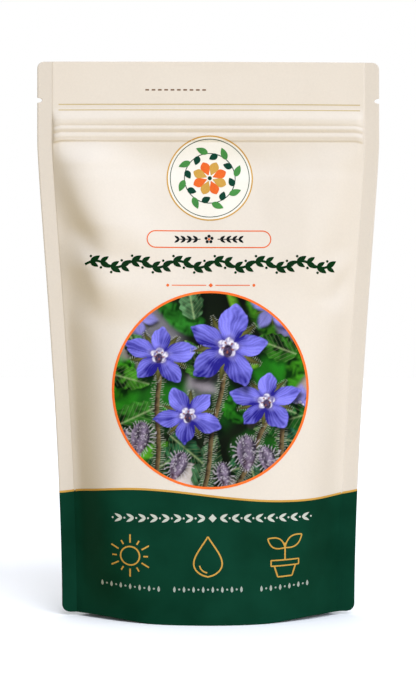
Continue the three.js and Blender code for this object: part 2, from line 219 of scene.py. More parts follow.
def film_depth(x, z, runs):
    """From the middle plane out to the face of a web."""
    chord = half_chord(z)
    across = np.minimum(np.abs(x) / chord, 1)
    inset = chord - np.abs(x)
    # The section is an oval at the floor, and higher up the puckers give it its shape.
    left_share, left_crests = side_fall(x, z, runs[LEFT], LEFT)
    right_share, right_crests = side_fall(x, z, runs[RIGHT], RIGHT)
    filled = left_share * right_share
    oval = (1 - across**2.4) ** 1.15
    section = oval + (filled - oval) * rise(z, 0, OVAL_TOP)
    # The zip holds the film off its neighbour almost up to the seal.
    plateau = 0.3 * rise(inset, -0.1, 0.6) + 0.7 * rise(inset, -0.4, 3.4)
    depth = belly(z) * section + zip_band(z) * plateau + zip_relief(x, z) * rise(inset, 0.1, 1.3)
    # Over the zip the header bows out, and less towards the top seal.
    header = rise(z, ZIP_Z - 2, ZIP_Z + 8) * (1 - 0.5 * rise(z, ZIP_Z + 8, POUCH_HEIGHT))
    depth += HEADER_BOW * (1 - across**2) * header
    loose = rise(inset, 0, 6) * (0.25 + 0.75 * rise(ZIP_Z - z, 2, 14))
    depth += left_crests + right_crests + slack(x, z) * loose
    return np.maximum(depth, 0) + WELD_STEP * rise(inset, -0.15, 0.4) + FILM + WEB_GAP


CORNER_LIFT = 1.3


def bottom_lift(x, z):
    """The bottom edge touches the ground at mid width and rises a little towards its corners."""
    outwards = rise(np.abs(x) / half_chord(0.0), 0.35, 0.8)
    return CORNER_LIFT * outwards * (1 - rise(z, 0, 45))


def on_front(x, z, lift=0.0):
    """The place on the front web that stands at x and z, lifted off its face."""
    return np.stack([x, -film_depth(x, z, FRONT_RUNS) - lift, z + bottom_lift(x, z)], axis=-1)


def on_back(x, z, lift=0.0):
    """The same on the back web, with x counted from the left as seen from behind."""
    return np.stack([-x, film_depth(-x, z, BACK_RUNS) + lift, z + bottom_lift(x, z)], axis=-1)


def to_piece(name, bm):
    """Ends a bmesh: its faces become the mesh of a new piece."""
    mesh = bpy.data.meshes.new(name)
    bm.to_mesh(mesh)
    bm.free()
    piece = bpy.data.objects.new(name, mesh)
    bpy.context.collection.objects.link(piece)
    return piece


def grid_piece(name, columns, rows, place):
    """A sheet of quads: place turns its columns and rows, as two arrays, into points in millimetres. Its UV
    map is the flat sheet, drawn to one scale both ways."""
    bm = bmesh.new()
    bmesh.ops.create_grid(bm, x_segments=len(columns) - 1, y_segments=len(rows) - 1, size=1)
    piece = to_piece(name, bm)
    mesh = piece.data
    flat = np.empty(3 * len(mesh.vertices))
    mesh.vertices.foreach_get("co", flat)
    column = np.rint((flat[0::3] + 1) / 2 * (len(columns) - 1)).astype(int)
    row = np.rint((flat[1::3] + 1) / 2 * (len(rows) - 1)).astype(int)
    points = place(np.asarray(columns)[column], np.asarray(rows)[row]) * MM
    mesh.vertices.foreach_set("co", points.ravel())
    mesh.shade_smooth()
    long_side = max(np.ptp(columns), np.ptp(rows))
    flat_u = (np.asarray(columns) - columns[0])[column] / long_side
    flat_v = (np.asarray(rows) - rows[0])[row] / long_side
    corner_vertex = np.empty(len(mesh.loops), dtype=int)
    mesh.loops.foreach_get("vertex_index", corner_vertex)
    flat_map = mesh.uv_layers.new(name="OFBake")
    flat_map.data.foreach_set("uv", np.stack([flat_u, flat_v], axis=-1)[corner_vertex].ravel())
    return piece


INNER_MAP_START = 0.64
INNER_MAP_SIZE = 0.55


def give_thickness(piece, thickness):
    """A sheet becomes a closed film. Its outer face stays, and its inner one gets a place of its own in the
    UV map."""
    outer_count = len(piece.data.vertices)
    wall = piece.modifiers.new("film", "SOLIDIFY")
    wall.thickness = thickness * MM
    wall.offset = -1
    wall.use_even_offset = True
    bpy.context.view_layer.objects.active = piece
    bpy.ops.object.modifier_apply(modifier=wall.name)
    flat_map = piece.data.uv_layers["OFBake"].data
    for face in piece.data.polygons:
        if min(face.vertices) >= outer_count:
            for corner in face.loop_indices:
                u, v = flat_map[corner].uv
                flat_map[corner].uv = (INNER_MAP_START + INNER_MAP_SIZE * u, INNER_MAP_SIZE * v)


NOTCH_Z = 195.3
NOTCH_HALF_HEIGHT = 0.95
NOTCH_DEPTH = 1.8
TOP_RADIUS = 2.6
BOTTOM_RADIUS = 3.0


def edge_bite(z):
    """How much the tear notches and the rounded corners take off the side edges."""
    notch = NOTCH_DEPTH * np.sqrt(np.clip(1 - ((z - NOTCH_Z) / NOTCH_HALF_HEIGHT) ** 2, 0, 1))
    past_top = np.clip(z - (POUCH_HEIGHT - TOP_RADIUS), 0, TOP_RADIUS)
    past_bottom = np.clip(BOTTOM_RADIUS - z, 0, BOTTOM_RADIUS)
    top = TOP_RADIUS - np.sqrt(TOP_RADIUS**2 - past_top**2)
    bottom = BOTTOM_RADIUS - np.sqrt(BOTTOM_RADIUS**2 - past_bottom**2)
    return notch + top + bottom


def web_x(flat_x, z):
    """Where a point of the flat web, counted from its middle, stands once the pouch is full."""
    seal_share = np.maximum(np.abs(flat_x) - FREE_HALF_WIDTH, 0) / SIDE_SEAL
    free = np.minimum(np.abs(flat_x), FREE_HALF_WIDTH) / FREE_HALF_WIDTH * half_chord(z)
    return np.sign(flat_x) * (free + seal_share * (SIDE_SEAL - edge_bite(z)))


# The web's columns and rows lie closer at the seals, the zip, the notches and the corners.
half_columns = np.concatenate([
    np.linspace(0, 50, 44)[:-1],
    np.linspace(50, FREE_HALF_WIDTH - 1, 13)[:-1],
    np.linspace(FREE_HALF_WIDTH - 1, FREE_HALF_WIDTH + 1, 13)[:-1],
    np.linspace(FREE_HALF_WIDTH + 1, POUCH_WIDTH / 2, 8),
])
WEB_COLUMNS = np.concatenate([-half_columns[:0:-1], half_columns])
WEB_ROWS = np.concatenate([
    np.linspace(0, 3, 11)[:-1],
    np.linspace(3, BELLY_TOP - 3, 166)[:-1],
    np.linspace(BELLY_TOP - 3, ZIP_Z + 5, 50)[:-1],
    np.linspace(ZIP_Z + 5, NOTCH_Z - 1.1, 8)[:-1],
    np.linspace(NOTCH_Z - 1.1, NOTCH_Z + 1.1, 21)[:-1],
    np.linspace(NOTCH_Z + 1.1, POUCH_HEIGHT - TOP_RADIUS, 14)[:-1],
    np.linspace(POUCH_HEIGHT - TOP_RADIUS, POUCH_HEIGHT, 11),
])
GUSSET_REACH = 39
FOOT_SEAL_EXTRA = 1.6
SEAL_MARK_BLUR = 0.3


def mark_seals(web):
    """Marks the welded margins, where the film is pressed and a shade darker. They widen by the gusset."""
    flat = np.empty(3 * len(web.data.vertices))
    web.data.vertices.foreach_get("co", flat)
    x, z = np.abs(flat[0::3]) / MM, flat[2::3] / MM
    beside_gusset = 1 - rise(z, GUSSET_REACH - 12, GUSSET_REACH + 14)
    inner_edge = half_chord(z) - FOOT_SEAL_EXTRA * beside_gusset
    marks = web.data.attributes.new("seal", "FLOAT", "POINT")
    marks.data.foreach_set("value", rise(x, inner_edge - SEAL_MARK_BLUR, inner_edge + SEAL_MARK_BLUR))


front_web = grid_piece("printed_front_web", WEB_COLUMNS, WEB_ROWS, lambda x, z: on_front(web_x(x, z), z))
give_thickness(front_web, FILM)
mark_seals(front_web)
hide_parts("front_web")


def linear(hex_colour):
    """An sRGB hex colour as linear red, green, blue and alpha."""
    parts = [int(hex_colour[i : i + 2], 16) / 255 for i in (1, 3, 5)]
    return tuple(p / 12.92 if p <= 0.04045 else ((p + 0.055) / 1.055) ** 2.4 for p in parts) + (1.0,)


def new_material(name):
    material = bpy.data.materials.new(name)
    material.use_nodes = True
    tree = material.node_tree
    return material, tree, tree.nodes["Principled BSDF"]


def set_finish(tree, shader, colour, rough, ior, relief=None):
    """Gives a shader its colour, its roughness, its index of refraction and its relief."""
    tree.links.new(colour, shader.inputs["Base Color"])
    tree.links.new(rough.outputs["Result"], shader.inputs["Roughness"])
    shader.inputs["IOR"].default_value = ior
    if relief:
        tree.links.new(relief.outputs["Normal"], shader.inputs["Normal"])


def add_node(tree, kind, settings=None, inputs=None):
    """Adds a node. An input is a value, or another node's output socket to link."""
    node = tree.nodes.new(kind)
    for key, value in (settings or {}).items():
        setattr(node, key, value)
    for key, value in (inputs or {}).items():
        if isinstance(value, bpy.types.NodeSocket):
            tree.links.new(value, node.inputs[key])
        else:
            node.inputs[key].default_value = value
    return node


# The green print stops at a long wave across the pouch: its height at seven places across, from the left.
WAVE_X = [-54, -36, -18, 0, 18, 36, 54]
WAVE_Z = [47.0, 49.2, 49.05, 47.0, 45.25, 45.0, 46.8]
WAVE = np.polyfit(WAVE_X, WAVE_Z, 6)


def object_millimetres(tree):
    """The point on the piece, in millimetres."""
    place = add_node(tree, "ShaderNodeTexCoord").outputs["Object"]
    scaled = add_node(tree, "ShaderNodeVectorMath", {"operation": "SCALE"}, {0: place, "Scale": 1 / MM})
    return scaled.outputs["Vector"]


def matt_laminate(name, printed_wave):
    """Matt-coated polypropylene over paper-toned ink: no gloss, a very fine grain and faint cloudy toning."""
    material, tree, shader = new_material(name)
    place_mm = object_millimetres(tree)
    # Cloudy toning, 18 mm from patch to patch, and a fibre grain of 0.7 mm, coarser than the real 0.1 mm.
    clouds = add_node(tree, "ShaderNodeTexNoise", inputs={"Vector": place_mm, "Scale": 1 / 18, "Detail": 3.0})
    grain = add_node(tree, "ShaderNodeTexNoise", inputs={"Vector": place_mm, "Scale": 1 / 0.7, "Detail": 2.0})
    cream = add_node(tree, "ShaderNodeMix", {"data_type": "RGBA"}, {
        "Factor": clouds.outputs["Fac"], 6: linear("#d3cabe"), 7: linear("#d6cec3")})
    green_share = add_node(tree, "ShaderNodeMapRange", inputs={
        "Value": clouds.outputs["Fac"], "From Min": 0.3, "From Max": 0.7})
    green = add_node(tree, "ShaderNodeMix", {"data_type": "RGBA"}, {
        "Factor": green_share.outputs["Result"], 6: linear("#083021"), 7: linear("#0d3b2b")})
    base = green.outputs[2]
    if printed_wave:
        parts = add_node(tree, "ShaderNodeSeparateXYZ", inputs={0: place_mm})
        height = WAVE[0]
        for coefficient in WAVE[1:]:
            step = add_node(tree, "ShaderNodeMath", {"operation": "MULTIPLY_ADD"}, {
                0: height, 1: parts.outputs["X"], 2: coefficient})
            height = step.outputs[0]
        above = add_node(tree, "ShaderNodeMath", {"operation": "GREATER_THAN"}, {
            0: parts.outputs["Z"], 1: height})
        split = add_node(tree, "ShaderNodeMix", {"data_type": "RGBA"}, {
            "Factor": above.outputs[0], 6: green.outputs[2], 7: cream.outputs[2]})
        base = split.outputs[2]
    grained = add_node(tree, "ShaderNodeHueSaturation", inputs={"Color": base})
    tone = add_node(tree, "ShaderNodeMapRange", inputs={
        "Value": grain.outputs["Fac"], "From Min": 0.3, "From Max": 0.7, "To Min": 0.985, "To Max": 1.015})
    seal = add_node(tree, "ShaderNodeAttribute", {"attribute_name": "seal"})
    pressed = add_node(tree, "ShaderNodeMapRange", inputs={
        "Value": seal.outputs["Fac"], "To Min": 1.0, "To Max": 0.93})
    toned = add_node(tree, "ShaderNodeMath", {"operation": "MULTIPLY"}, {
        0: tone.outputs["Result"], 1: pressed.outputs["Result"]})
    rough = add_node(tree, "ShaderNodeMapRange", inputs={
        "Value": clouds.outputs["Fac"], "From Min": 0.3, "From Max": 0.7, "To Min": 0.6, "To Max": 0.68})
    relief = add_node(tree, "ShaderNodeBump", inputs={
        "Strength": 0.25, "Distance": 0.02 * MM, "Height": grain.outputs["Fac"]})
    tree.links.new(toned.outputs[0], grained.inputs["Value"])
    set_finish(tree, shader, grained.outputs["Color"], rough, 1.5, relief)
    shader.inputs["Specular IOR Level"].default_value = 0.01
    return material


laminate = matt_laminate("Matt laminate, gravure printed", printed_wave=True)
front_web.data.materials.append(laminate)
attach(front_web, "root")

# ---- Back web ----
# The back is a second web of the same laminated film, printed in the same two colours. It is sealed to the
# front web down both sides and across the top, and the seeds push it out the same way.

back_web = grid_piece("printed_back_web", WEB_COLUMNS, WEB_ROWS, lambda x, z: on_back(web_x(x, z), z))
give_thickness(back_web, FILM)
mark_seals(back_web)
back_web.data.materials.append(laminate)
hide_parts("back_web")
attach(back_web, "root")

# ---- Bottom gusset ----
# The third web is folded in half and sealed between the other two along a curve that is low in the middle and
# high at the corners. The seeds push it flat on the ground, and its fold line still shows underneath.

GUSSET_END = 0.965
SKIRT_HEIGHT = 5
GUSSET_TOP = GUSSET_REACH - 1
FOLD_LINE_HEIGHT = 0.25
GROUND_GAP = 0.02
GUSSET_WELD_GAP = 0.05


def past(share, start):
    return np.clip((share - start) / (1 - start), 0, 1)


def floor_z(along, across):
    """The height of the gusset's underside, with both counted from -1 to 1."""
    outer = np.abs(along)
    side = np.abs(across)
    skirt = SKIRT_HEIGHT + (GUSSET_REACH - SKIRT_HEIGHT) * outer**2.4
    crease = GUSSET_TOP * past(outer, 0.2) ** 1.5
    lobe = GUSSET_TOP * past(outer, 0.4) ** 1.7
    fold_line = GROUND_GAP + FOLD_LINE_HEIGHT * bump(across, 0, 0.02)
    to_skirt = (skirt - lobe) * rise(side, 0.62, 1)
    to_crease = (crease - lobe) * (1 - rise(side, 0, 0.3))
    return lobe + to_skirt + to_crease + fold_line


def inner_reach(x, z, across):
    """How far out the gusset stands, just inside the front web where across is above 0, or the back web."""
    web = np.where(across > 0, film_depth(x, z, FRONT_RUNS), film_depth(x, z, BACK_RUNS))
    return web - 2 * FILM - GUSSET_WELD_GAP


def on_gusset(along, across):
    """Past 1 either way, across runs down the skirt that is sealed to a web, and ends at 2 on the ground."""
    x = along * half_chord(0.0)
    top = floor_z(along, np.ones_like(along))
    on_floor = np.abs(across) <= 1
    down = np.clip(np.abs(across) - 1, 0, 1)
    skirt_z = top * (1 - down)
    floor_y = across * inner_reach(x, top, across)
    skirt_y = np.sign(across) * inner_reach(x, skirt_z, across)
    floor_rise = bottom_lift(x, top) * rise(np.abs(across), 0.6, 1)
    floor_height = floor_z(along, np.clip(across, -1, 1)) + floor_rise
    y = np.where(on_floor, floor_y, skirt_y)
    z = np.where(on_floor, floor_height, skirt_z + bottom_lift(x, skirt_z))
    return np.stack([x, -y, z], axis=-1)


gusset_alongs = GUSSET_END * np.sin(np.linspace(-math.pi / 2, math.pi / 2, 81))
skirt_acrosses = np.linspace(1, 2, 7)[1:]
floor_acrosses = np.linspace(-1, 1, 61)
gusset_acrosses = np.concatenate([-skirt_acrosses[::-1], floor_acrosses, skirt_acrosses])
gusset = grid_piece("bottom_gusset_film", gusset_alongs, gusset_acrosses, on_gusset)
give_thickness(gusset, FILM)
gusset.data.materials.append(matt_laminate("Matt laminate, green", printed_wave=False))
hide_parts("bottom_gusset")
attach(gusset, "root")

# ---- Tear guide ----
# Above the zip the film carries two fine tan rules that show where to tear, and a short row of brown dashes.
# Like all the printing on the pouch they are gravure ink under the matt outer film.

INK_LIFT = 0.04
SAME_POINT = 0.002


def draw(bm, columns, rows, place, ink=0, lift=INK_LIFT):
    """Adds a patch of ink: place turns shares along and across, from 0 to 1, into x and z on the web."""
    made = bmesh.ops.create_grid(bm, x_segments=columns, y_segments=rows, size=0.5)["verts"]
    shares = np.array([vert.co[:] for vert in made]) + 0.5
    x, z = place(shares[:, 0], shares[:, 1])
    for vert, new_x, new_z in zip(made, x, z):
        vert.co = (new_x, lift, new_z)
    for face in {face for vert in made for face in vert.link_faces}:
        face.material_index = ink


def line(bm, path, width, ink=0, lift=INK_LIFT, step=0.8):
    """A printed line of one width along a path of points. It closes on itself where the path does."""
    path = np.asarray(path, dtype=float)
    walked = np.concatenate([[0], np.cumsum(np.hypot(*np.diff(path, axis=0).T))])
    count = max(int(walked[-1] / step), 2)
    even = np.linspace(0, walked[-1], count + 1)
    x = np.interp(even, walked, path[:, 0])
    z = np.interp(even, walked, path[:, 1])
    closed = math.dist(path[0], path[-1]) < 0.01
    around = (np.arange(-1, count + 2) % count) if closed else np.clip(np.arange(-1, count + 2), 0, count)
    run_x = x[around[2:]] - x[around[:-2]]
    run_z = z[around[2:]] - z[around[:-2]]
    length = np.hypot(run_x, run_z)

    def place(along, across):
        at = np.rint(along * count).astype(int)
        off = (across - 0.5) * width / length[at]
        return x[at] - run_z[at] * off, z[at] + run_x[at] * off

    draw(bm, count, 1, place, ink, lift)


def lay_print(name, bm, on_web, inks):
    """Turns flat printing into a piece that lies on a web."""
    bmesh.ops.remove_doubles(bm, verts=bm.verts, dist=SAME_POINT)
    piece = to_piece(name, bm)
    mesh = piece.data
    flat = np.empty(3 * len(mesh.vertices))
    mesh.vertices.foreach_get("co", flat)
    mesh.vertices.foreach_set("co", (on_web(flat[0::3], flat[2::3], flat[1::3]) * MM).ravel())
    mesh.shade_smooth()
    for ink in inks:
        mesh.materials.append(ink)
    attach(piece, "root")
    return piece


def gravure_ink(name, darker, lighter):
    """Gravure ink under a matt film. Its cells leave a mottle, drawn at 0.4 mm where the real is 0.1 mm."""
    material, tree, shader = new_material(name)
    place_mm = object_millimetres(tree)
    mottle = add_node(tree, "ShaderNodeTexNoise", inputs={
        "Vector": place_mm, "Scale": 1 / 0.4, "Detail": 2.0})
    drift = add_node(tree, "ShaderNodeTexNoise", inputs={"Vector": place_mm, "Scale": 1 / 9, "Detail": 2.0})
    both = add_node(tree, "ShaderNodeMath", {"operation": "ADD"}, {
        0: mottle.outputs["Fac"], 1: drift.outputs["Fac"]})
    share = add_node(tree, "ShaderNodeMapRange", inputs={
        "Value": both.outputs[0], "From Min": 0.7, "From Max": 1.3})
    colour = add_node(tree, "ShaderNodeMix", {"data_type": "RGBA"}, {
        "Factor": share.outputs["Result"], 6: linear(darker), 7: linear(lighter)})
    rough = add_node(tree, "ShaderNodeMapRange", inputs={
        "Value": drift.outputs["Fac"], "From Min": 0.3, "From Max": 0.7, "To Min": 0.56, "To Max": 0.66})
    set_finish(tree, shader, colour.outputs[2], rough, 1.5)
    shader.inputs["Specular IOR Level"].default_value = 0.035
    return material


tan_ink = gravure_ink("Tan gravure ink", "#b7a57b", "#c3b187")
brown_ink = gravure_ink("Brown gravure ink", "#674a33", "#74563d")
RULE_HEIGHTS = (193.7, 191.55)
RULE_LEFT, RULE_RIGHT = -56.9, 57.7
DASH_Z = 199.2
DASH_LEFT, DASH_RIGHT = -24, -2
DASH_LENGTH = 1.4
DASH_PITCH = 2.4
guide = bmesh.new()
for z in RULE_HEIGHTS:
    line(guide, [(RULE_LEFT, z), (RULE_RIGHT, z)], 0.4, step=1.2)
for start in np.arange(DASH_LEFT, DASH_RIGHT, DASH_PITCH):
    line(guide, [(start, DASH_Z), (start + DASH_LENGTH, DASH_Z)], 0.55, ink=1)
lay_print("printed_tear_guide", guide, on_front, [tan_ink, brown_ink])

# ---- Emblem ----
# A round badge at the top of the front, printed in five inks: a gold ring round a green one, and inside them
# a wreath of leaves round an open flower.

EMBLEM_X, EMBLEM_Z = 0.4, 165.5
EMBLEM_RADIUS = 16.1
GROUND_RADIUS = 15.9
INNER_RING_RADIUS = 14.95
WREATH_RADIUS = 9.6
WREATH_LEAVES = 16
OUTER_LEAF_TIP = 12.6
INNER_LEAF_TIP = 7.4
PETALS = 8
PETAL_FOOT = 0.9
PETAL_TIP = 6.7


def circle(x, z, radius, start=0.0, end=360.0):
    """The points of a circle, or of an arc of it, in degrees from the right."""
    angles = np.radians(np.linspace(start, end, 73))
    return np.stack([x + radius * np.cos(angles), z + radius * np.sin(angles)], axis=-1)


def leaf(bm, base, tip, width, ink=0, lift=INK_LIFT, fullness=0.8):
    """A pointed leaf or petal from its base to its tip. Less fullness is broader towards the base."""
    run_x, run_z = tip[0] - base[0], tip[1] - base[1]
    length = math.hypot(run_x, run_z)

    def place(along, across):
        half = width / 2 * np.sin(math.pi * along**fullness) ** 0.85 / length
        off = (across - 0.5) * 2 * half
        return base[0] + run_x * along - run_z * off, base[1] + run_z * along + run_x * off

    draw(bm, 12, 2, place, ink, lift)


def dot(bm, x, z, radius, ink=0, lift=INK_LIFT, sides=16):
    """A filled dot, or a diamond where it has four sides."""
    made = bmesh.ops.create_circle(bm, cap_ends=True, segments=sides, radius=radius)["verts"]
    for vert in made:
        vert.co = (x + vert.co.x, lift, z + vert.co.y)
    for face in {face for vert in made for face in vert.link_faces}:
        face.material_index = ink


def polar(x, z, radius, degrees):
    return (x + radius * math.cos(math.radians(degrees)), z + radius * math.sin(math.radians(degrees)))


gold_ink = gravure_ink("Gold-tone gravure ink", "#b78b3c", "#c4994a")
green_ink = gravure_ink("Dark green gravure ink", "#0a3124", "#10402f")
leaf_ink = gravure_ink("Leaf green gravure ink", "#38743a", "#4b8b45")
paper_ink = gravure_ink("Warm white gravure ink", "#dedacf", "#e3dfd6")
orange_ink = gravure_ink("Orange gravure ink", "#cf5527", "#dd6a2b")
emblem = bmesh.new()
draw(emblem, 144, 60, lambda along, across: (
    EMBLEM_X + GROUND_RADIUS * across * np.cos(2 * math.pi * along),
    EMBLEM_Z + GROUND_RADIUS * across * -np.sin(2 * math.pi * along)), ink=3)
line(emblem, circle(EMBLEM_X, EMBLEM_Z, EMBLEM_RADIUS), 0.5, ink=0, lift=2 * INK_LIFT)
line(emblem, circle(EMBLEM_X, EMBLEM_Z, INNER_RING_RADIUS), 0.28, ink=1, lift=2 * INK_LIFT)
for number in range(WREATH_LEAVES):
    degrees = 360 / WREATH_LEAVES * number + 4
    outward = number % 2 == 0
    leaf_foot = polar(EMBLEM_X, EMBLEM_Z, WREATH_RADIUS, degrees)
    leaf_tip = polar(EMBLEM_X, EMBLEM_Z, OUTER_LEAF_TIP if outward else INNER_LEAF_TIP, degrees + 20)
    leaf(emblem, leaf_foot, leaf_tip, 2.5, ink=2 if outward else 1, lift=3 * INK_LIFT)
line(emblem, circle(EMBLEM_X, EMBLEM_Z, WREATH_RADIUS), 0.32, ink=1, lift=2 * INK_LIFT)
for number in range(PETALS):
    degrees = 360 / PETALS * (number + 0.5)
    petal_foot = polar(EMBLEM_X, EMBLEM_Z, PETAL_FOOT, degrees)
    petal_tip = polar(EMBLEM_X, EMBLEM_Z, PETAL_TIP, degrees)
    leaf(emblem, petal_foot, petal_tip, 3.6, ink=0 if number % 2 else 4, lift=3 * INK_LIFT, fullness=1.5)
dot(emblem, EMBLEM_X, EMBLEM_Z, 1.25, ink=3, lift=5 * INK_LIFT)
dot(emblem, EMBLEM_X, EMBLEM_Z, 0.8, ink=1, lift=6 * INK_LIFT)
lay_print("printed_emblem", emblem, on_front, [gold_ink, green_ink, leaf_ink, paper_ink, orange_ink])

# ---- Banner and title scroll ----
# Under the badge, a thin round-ended outline holds a sprig. Below it a scroll of leaves and berries runs most
# of the way across, over a fine rule with a diamond in its middle.


def round_ended(half_width, middle_z, half_height):
    """A bar's outline with round ends."""
    right = circle(half_width - half_height, middle_z, half_height, -90, 90)
    left = circle(half_height - half_width, middle_z, half_height, 90, 270)
    return np.concatenate([right, left, right[:1]])


black_ink = gravure_ink("Black gravure ink", "#141617", "#1c1e1e")
BANNER_Z = 142.1
BANNER_HALF_WIDTH = 23.2
BANNER_HALF_HEIGHT = 3.15
TWIG_START, TWIG_END = 3.2, 12
TWIG_LEAF_PITCH = 2.3
banner = bmesh.new()
line(banner, round_ended(BANNER_HALF_WIDTH, BANNER_Z, BANNER_HALF_HEIGHT), 0.42, ink=0)
for side in (-1, 1):
    line(banner, [(side * TWIG_START, BANNER_Z), (side * TWIG_END, BANNER_Z)], 0.35, ink=1)
    for number in range(4):
        foot = side * (TWIG_START + 1 + TWIG_LEAF_PITCH * number)
        for up in (-1, 1):
            leaf(banner, (foot, BANNER_Z), (foot + side * 1.9, BANNER_Z + 1.35 * up), 0.95, ink=1)
for number in range(5):
    petal_x, petal_z = polar(0, BANNER_Z, 1.15, 90 + 360 / 5 * number)
    dot(banner, petal_x, petal_z, 0.62, ink=1)
dot(banner, 0, BANNER_Z, 0.45, ink=0, lift=2 * INK_LIFT)
lay_print("printed_banner", banner, on_front, [orange_ink, black_ink])

TITLE_Z = 132.6
SCROLL_HALF_LENGTH = 46.4
SCROLL_WAVE = 15.45
SCROLL_SWING = 1.25
title = bmesh.new()
scroll_x = np.linspace(-SCROLL_HALF_LENGTH, SCROLL_HALF_LENGTH, 240)
scroll_z = TITLE_Z + SCROLL_SWING * np.sin(2 * math.pi * scroll_x / SCROLL_WAVE)
line(title, np.stack([scroll_x, scroll_z], axis=-1), 0.95)
for number in range(-12, 12):
    foot_x = (number + 0.5) * SCROLL_WAVE / 4
    foot_z = TITLE_Z + SCROLL_SWING * math.sin(2 * math.pi * foot_x / SCROLL_WAVE)
    up = 1 if number % 2 else -1
    if number % 4 in (0, 1):
        up = -up
    leaf(title, (foot_x, foot_z), (foot_x + 3.7, foot_z + 2.3 * up), 2.1, lift=1.5 * INK_LIFT)
    leaf(title, (foot_x, foot_z), (foot_x + 3.1, foot_z - 1.9 * up), 1.7, lift=1.5 * INK_LIFT)
    dot(title, foot_x + 0.2, foot_z + 2.2 * up, 0.5, lift=1.5 * INK_LIFT)
deep_green_ink = gravure_ink("Deep green gravure ink", "#04240a", "#083011")
lay_print("printed_title_scroll", title, on_front, [deep_green_ink])

DIVIDER_X, DIVIDER_Z = 0.6, 124.7
DIVIDER_START, DIVIDER_END = 1.7, 14.6
divider = bmesh.new()
for side in (-1, 1):
    rule_start = DIVIDER_X + side * DIVIDER_START
    rule_end = DIVIDER_X + side * DIVIDER_END
    line(divider, [(rule_start, DIVIDER_Z), (rule_end, DIVIDER_Z)], 0.34)
    dot(divider, rule_end + side * 1.5, DIVIDER_Z, 0.55)
dot(divider, DIVIDER_X, DIVIDER_Z, 0.85, sides=4)
lay_print("printed_divider", divider, on_front, [orange_ink])

# ---- Picture panel ----
# The round picture in the middle of the front is printed in full colour: five-petalled blue-violet flowers
# among leaves and hairy buds, with the plants behind them out of focus. It is painted here by formula, point
# by point, on a fine sheet of print.

PICTURE_X, PICTURE_Z = 0.4, 86.0
PICTURE_RADIUS = 36.3
POINT_PITCH = 0.27
picture_steps = np.arange(-PICTURE_RADIUS, PICTURE_RADIUS + 0.2, POINT_PITCH)
picture = grid_piece(
    "printed_flower_picture", picture_steps + PICTURE_X, picture_steps + PICTURE_Z,
    lambda x, z: on_front(x, z, INK_LIFT))
outline_bm = bmesh.new()
outline_bm.from_mesh(picture.data)
outside = [
    vert for vert in outline_bm.verts
    if math.hypot(vert.co.x / MM - PICTURE_X, vert.co.z / MM - PICTURE_Z) > PICTURE_RADIUS]
bmesh.ops.delete(outline_bm, geom=outside, context="VERTS")
outline_bm.to_mesh(picture.data)
outline_bm.free()
spots = np.empty(3 * len(picture.data.vertices))
picture.data.vertices.foreach_get("co", spots)
X = spots[0::3] / MM - PICTURE_X
Z = spots[2::3] / MM - PICTURE_Z
paint = np.zeros((len(X), 3))


def hue(hex_colour):
    return np.array(linear(hex_colour)[:3])


HILL_LATTICE = 97


def hills(size, seed):
    """Smooth random heights from 0 to 1 over the picture, with hills of that size in millimetres."""
    lattice = np.random.default_rng(seed).random((HILL_LATTICE, HILL_LATTICE))
    c, s = math.cos(seed), math.sin(seed)
    across, up = (X * c - Z * s) / size, (X * s + Z * c) / size
    across, up = across + 0.45 * np.sin(1.9 * up), up + 0.45 * np.sin(1.7 * across)
    column, row = np.floor(across).astype(int), np.floor(up).astype(int)
    share_x, share_z = rise(across - column, 0, 1), rise(up - row, 0, 1)
    left, right = column % HILL_LATTICE, (column + 1) % HILL_LATTICE
    below, above = row % HILL_LATTICE, (row + 1) % HILL_LATTICE
    low = lattice[below, left] * (1 - share_x) + lattice[below, right] * share_x
    high = lattice[above, left] * (1 - share_x) + lattice[above, right] * share_x
    return low * (1 - share_z) + high * share_z


def over(cover, colour):
    """Paints a colour, or one colour per point, over the picture where cover is above 0."""
    paint[:] = paint + np.clip(cover, 0, 1)[:, None] * (colour - paint)


def between(low, high, share):
    return low + (high - low) * np.clip(share, 0, 1)[:, None]


def edge(distance, blur):
    """1 well inside an outline and 0 well outside it, with a soft edge."""
    return rise(distance, -blur / 2, blur / 2)


def turned(x, z, degrees):
    """The picture seen from a place of its own: along a direction, and across it."""
    c, s = math.cos(math.radians(degrees)), math.sin(math.radians(degrees))
    return (X - x) * c + (Z - z) * s, (Z - z) * c - (X - x) * s


def paint_leaf(x, z, length, width, degrees, dark, light, blur=0.4, seed=1):
    """A crinkled leaf with a pale midrib and side veins, and the shadow it casts below it."""
    for shadow in (True, False):
        shift = 0.9 if shadow else 0.0
        along, across = turned(x + 0.6 * shift, z - 1.3 * shift, degrees)
        u = along / length
        inside = np.clip(u, 0, 1)
        scallop = 1 + 0.07 * np.sin(u * 34 + 2 * np.sign(across)) * (blur < 1)
        outline = width / 2 * np.sin(math.pi * inside**0.72) ** 0.75 * scallop
        distance = np.where((u > 0) & (u < 1), outline - np.abs(across), -9)
        if shadow:
            over(0.6 * edge(distance, 2.6 + blur), hue("#060a06"))
            continue
        side = across / (width / 2)
        crinkle = hills(1.5, seed) - 0.5
        tone = 0.36 + 0.26 * side + 0.95 * crinkle + 0.5 * (hills(5, seed + 1) - 0.5)
        colour = between(hue(dark), hue(light), tone)
        if blur < 1:
            rib = np.exp(-((across / 0.32) ** 2))
            phase = (u - 0.3 * np.abs(side)) * 9 % 1
            vein = np.exp(-(((phase - 0.5) / 0.09) ** 2)) * (np.abs(side) < 0.85)
            groove = np.exp(-(((phase - 0.68) / 0.12) ** 2))
            colour = colour * (1 - 0.35 * groove[:, None])
            colour = between(colour, hue("#a9bf86"), 0.45 * rib + 0.16 * vein)
        over(edge(distance, blur), colour)


